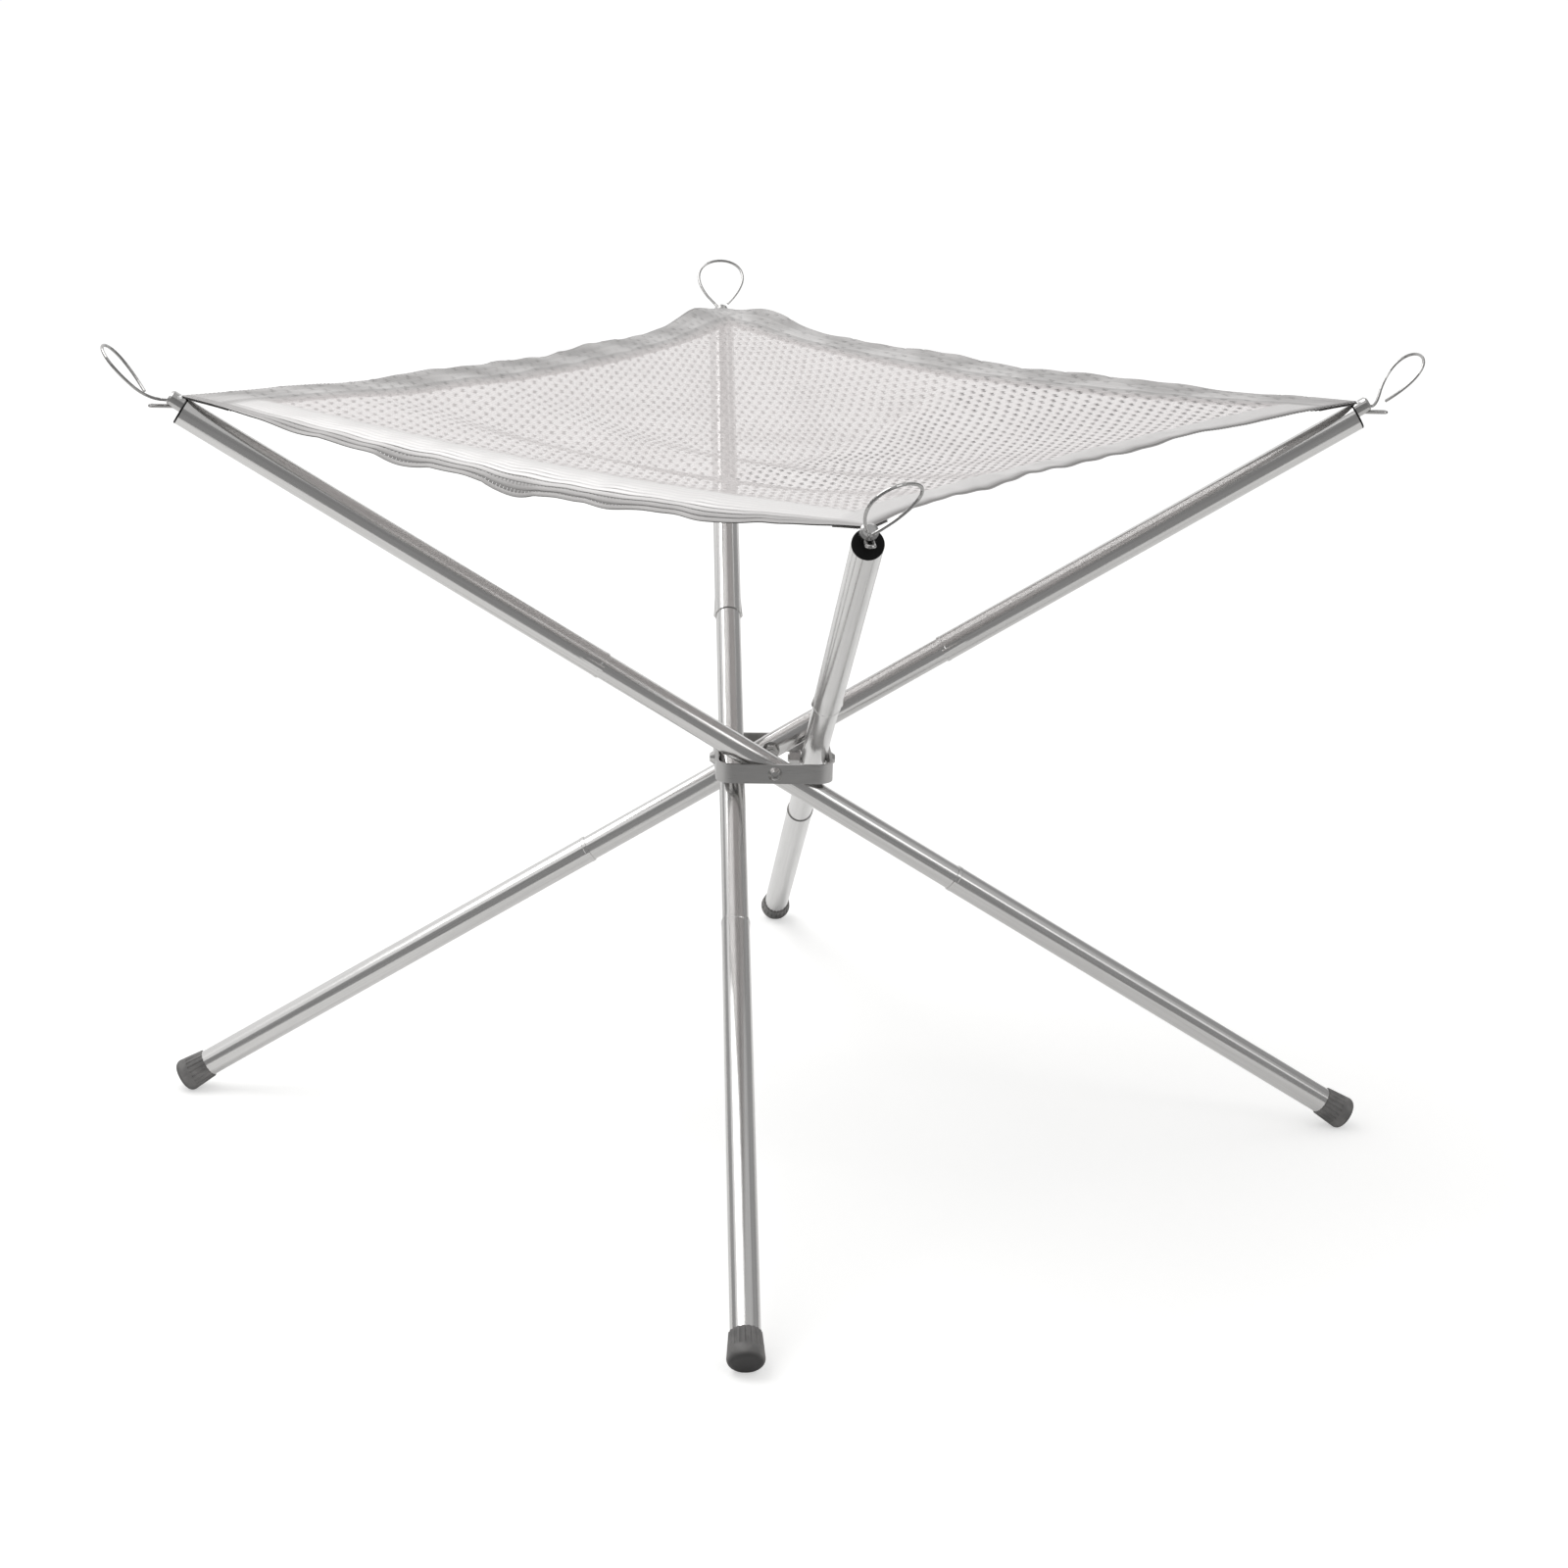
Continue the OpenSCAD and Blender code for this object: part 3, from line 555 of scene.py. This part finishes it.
def make_sheet():
    """The cloth as a plain grid, with a point at each crossing of two strands."""
    cut_half = half + HEM
    edge = cut_half * (1 - 1 / STRANDS)
    line = np.linspace(-edge, edge, STRANDS)
    cut_u, cut_v = np.meshgrid(line, line, indexing="ij")
    (inside_u, below_u), (inside_v, below_v) = folded(cut_u), folded(cut_v)
    u, v = inside_u / half, inside_v / half
    points = upper_layer(inside_u, inside_v)
    normals, up = sheet_normals(inside_u, inside_v, below_u, below_v, points)
    for inside, below in ((inside_u, below_u), (inside_v, below_v)):
        gap = FOLD_GAP + (LAYER_GAP - FOLD_GAP) * smooth(0, FOLD_REACH, half - np.abs(inside))
        points = points - up * (gap * below)[..., None]
    in_hem_u, in_hem_v = in_hem_band(inside_u), in_hem_band(inside_v)
    # Knots, where the weft comes up over the warp, in staggered rows across the diagonal. They lie
    # 6 mm apart, far coarser than in the real weave, because its own would be too fine to show
    row, column = np.indices((STRANDS, STRANDS))
    across, deep = (row - column) % KNOT_ACROSS, (row + column) % KNOT_DEEP
    in_row = (across == 0) & (deep <= KNOT_LENGTH)
    deeper = deep - KNOT_DEEP // 2
    between = (across == KNOT_ACROSS // 2) & (deeper >= 0) & (deeper <= KNOT_LENGTH)
    # The material paints these knots dark, as shade
    knots_painted_dark = in_row | between
    in_hem = np.maximum(in_hem_u, in_hem_v)
    near_hem = np.maximum(in_hem_u * (u > 0), in_hem_v * (v > 0))
    draws = np.random.default_rng(SEED)
    uneven = draws.uniform(KNOT_FAINTEST * (1 - in_hem), 1) * (1 - near_hem)
    # Painted shade along the far hems, strand by strand in lines, and in blotches where they are crumpled
    lines = draws.uniform(LINE_FAINT, LINE_STRONG, STRANDS)
    crumple_shade = CRUMPLE_SHADE * tangled(inside_u, inside_v, 7, 11)
    far_u = HEM_SHADE["far_right"] * (lines[:, None] + crumple_shade)
    far_v = HEM_SHADE["far_left"] * (lines[None, :] + crumple_shade)
    # Marks for the material: the doubled hem, its painted shade, and the part pulled open by the crease,
    # where the knots' painted shade is deeper.
    # The radius widens the strands of the hem, which are pressed flat
    # Painted shade under the slack hems' rolled lips
    lip_shade_u, lip_shade_v = (smooth(1 - LIP_SHARE, 1 - LIP_SHARE / 2, hem_share(inside))
                    for inside in (inside_u, inside_v))
    hem_shade_u = np.where(u > 0, np.maximum(HEM_SHADE["left"], lip_shade_u), far_u) * in_hem_u
    hem_shade_v = np.where(v > 0, np.maximum(HEM_SHADE["right"], lip_shade_v), far_v) * in_hem_v
    marks = {
        "knot": knots_painted_dark * uneven,
        "hem": in_hem,
        "radius": 1 + HEM_FLATTEN * in_hem,
        "grey": np.maximum(hem_shade_u, hem_shade_v),
        "pulled_open_shade": smooth(0.0, 0.12, beside_crease(u, v)) * smooth(0.75, 0.35, u)}
    n = STRANDS
    faces = [(i * n + j, (i + 1) * n + j, (i + 1) * n + j + 1, i * n + j + 1)
             for i in range(n - 1) for j in range(n - 1)]
    mesh = bpy.data.meshes.new("cloth_sheet")
    mesh.from_pydata(points.reshape(-1, 3).tolist(), [], faces)
    for name, values in marks.items():
        mark = mesh.attributes.new(name, "FLOAT", "POINT")
        mark.data.foreach_set("value", values.astype(np.float32).ravel())
    facing = mesh.attributes.new("sheet_normal", "FLOAT_VECTOR", "POINT")
    facing.data.foreach_set("vector", normals.astype(np.float32).ravel())
    mesh.update()
    return mesh


def weave_tree():
    """Strips along one direction of a grid, each a strand that waves over and under those it crosses:
    the weft comes over the warp only at the knots."""
    tree = bpy.data.node_groups.new("knotted_weave", "GeometryNodeTree")
    for name, kind in (("Sheet", "Geometry"), ("Step to next point", "Int"), ("Is weft", "Float"),
                       ("Crimp", "Float"), ("Strip width", "Float"), ("Strip crown", "Float"),
                       ("Wire", "Material")):
        tree.interface.new_socket(name, in_out="INPUT", socket_type=f"NodeSocket{kind}")
    tree.interface.new_socket("Weave", in_out="OUTPUT", socket_type="NodeSocketGeometry")
    given = add(tree, "NodeGroupInput").outputs
    facing = add(tree, "GeometryNodeInputNamedAttribute", {"Name": "sheet_normal"},
                 data_type="FLOAT_VECTOR")
    # A strand rises by the crimp where it is over and sinks by it where it is under
    knot = add(tree, "GeometryNodeInputNamedAttribute", {"Name": "knot"}, data_type="FLOAT")
    is_over = add(tree, "ShaderNodeMath", {0: knot.outputs[0], 1: given["Is weft"], 2: 0.5},
                  operation="COMPARE")
    signed = add(tree, "ShaderNodeMapRange", {"Value": is_over.outputs[0], "To Min": -1.0, "To Max": 1.0})
    height = add(tree, "ShaderNodeMath", {0: signed.outputs[0], 1: given["Crimp"]}, operation="MULTIPLY")
    lift = add(tree, "ShaderNodeVectorMath", {0: facing.outputs[0], "Scale": height.outputs[0]},
               operation="SCALE")
    waved = add(tree, "GeometryNodeSetPosition", {
        "Geometry": given["Sheet"], "Offset": lift.outputs[0]})
    # Strips follow the edges that join a point to the next one of their own direction
    ends = add(tree, "GeometryNodeInputMeshEdgeVertices").outputs
    step = add(tree, "ShaderNodeMath", {
        0: ends["Vertex Index 1"], 1: ends["Vertex Index 2"]}, operation="SUBTRACT")
    step = add(tree, "ShaderNodeMath", {0: step.outputs[0]}, operation="ABSOLUTE")
    along = add(tree, "ShaderNodeMath", {
        0: step.outputs[0], 1: given["Step to next point"], 2: 0.5}, operation="COMPARE")
    strips = add(tree, "GeometryNodeMeshToCurve", {
        "Mesh": waved.outputs[0], "Selection": along.outputs[0]})
    ahead = add(tree, "GeometryNodeInputTangent")
    lengthwise = add(tree, "ShaderNodeVectorMath", {0: facing.outputs[0], 1: ahead.outputs[0]},
                     operation="PROJECT")
    square = add(tree, "ShaderNodeVectorMath", {0: facing.outputs[0], 1: lengthwise.outputs[0]},
                 operation="SUBTRACT")
    square = add(tree, "ShaderNodeVectorMath", {0: square.outputs[0]}, operation="NORMALIZE")
    turned = add(tree, "GeometryNodeSetCurveNormal", {
        "Curve": strips.outputs[0], "Normal": square.outputs[0]}, mode="FREE")
    # A shallow arch of three points for the strip's section, marked 1 along its crown
    arch = add(tree, "GeometryNodeCurveArc", {
        "Resolution": 3, "Radius": 1.0, "Start Angle": -math.pi / 2, "Sweep Angle": math.pi})
    half_width = add(tree, "ShaderNodeMath", {0: given["Strip width"], 1: 0.5}, operation="MULTIPLY")
    size = add(tree, "ShaderNodeCombineXYZ", {0: given["Strip crown"], 1: half_width.outputs[0], 2: 1.0})
    section = add(tree, "GeometryNodeTransform", {"Geometry": arch.outputs[0], "Scale": size.outputs[0]})
    index = add(tree, "GeometryNodeInputIndex").outputs[0]
    middle = add(tree, "ShaderNodeMath", {0: index, 1: 1.0, 2: 0.5}, operation="COMPARE")
    crowned = add(tree, "GeometryNodeStoreNamedAttribute", {
        "Geometry": section.outputs[0], "Name": "crown", "Value": middle.outputs[0]},
        data_type="FLOAT", domain="POINT")
    wires = add(tree, "GeometryNodeCurveToMesh", {
        "Curve": turned.outputs[0], "Profile Curve": crowned.outputs[0]})
    shaded = add(tree, "GeometryNodeSetShadeSmooth", {"Geometry": wires.outputs[0]})
    real = add(tree, "GeometryNodeRealizeInstances", {"Geometry": shaded.outputs[0]})
    coated = add(tree, "GeometryNodeSetMaterial", {"Geometry": real.outputs[0], "Material": given["Wire"]})
    add(tree, "NodeGroupOutput", {"Weave": coated.outputs[0]})
    return tree


def evaluated(obj, tree, name, values):
    """The mesh that a node tree makes from an object, as a plain object of that name."""
    modifier = obj.modifiers.new("nodes", "NODES")
    modifier.node_group = tree
    sockets = {s.name: s.identifier for s in tree.interface.items_tree if s.in_out == "INPUT"}
    for key, value in values.items():
        modifier[sockets[key]] = value
    graph = bpy.context.evaluated_depsgraph_get()
    mesh = bpy.data.meshes.new_from_object(obj.evaluated_get(graph))
    mesh.name = name
    obj.modifiers.remove(modifier)
    return show(bpy.data.objects.new(name, mesh))


sheet = show(bpy.data.objects.new("cloth_sheet", make_sheet()))
weave = weave_tree()
strip = {"Crimp": CRIMP, "Strip width": STRIP_SHARE * strand_step,
         "Strip crown": STRIP_CROWN, "Wire": cloth_steel}
warp = evaluated(sheet, weave, "cloth_warp", {**strip, "Step to next point": 1, "Is weft": 0.0})
weft = evaluated(sheet, weave, "cloth_weft", {**strip, "Step to next point": STRANDS, "Is weft": 1.0})
bpy.data.objects.remove(sheet)
for wires in (warp, weft):
    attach(wires, "fire_bed")
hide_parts("wire_cloth")
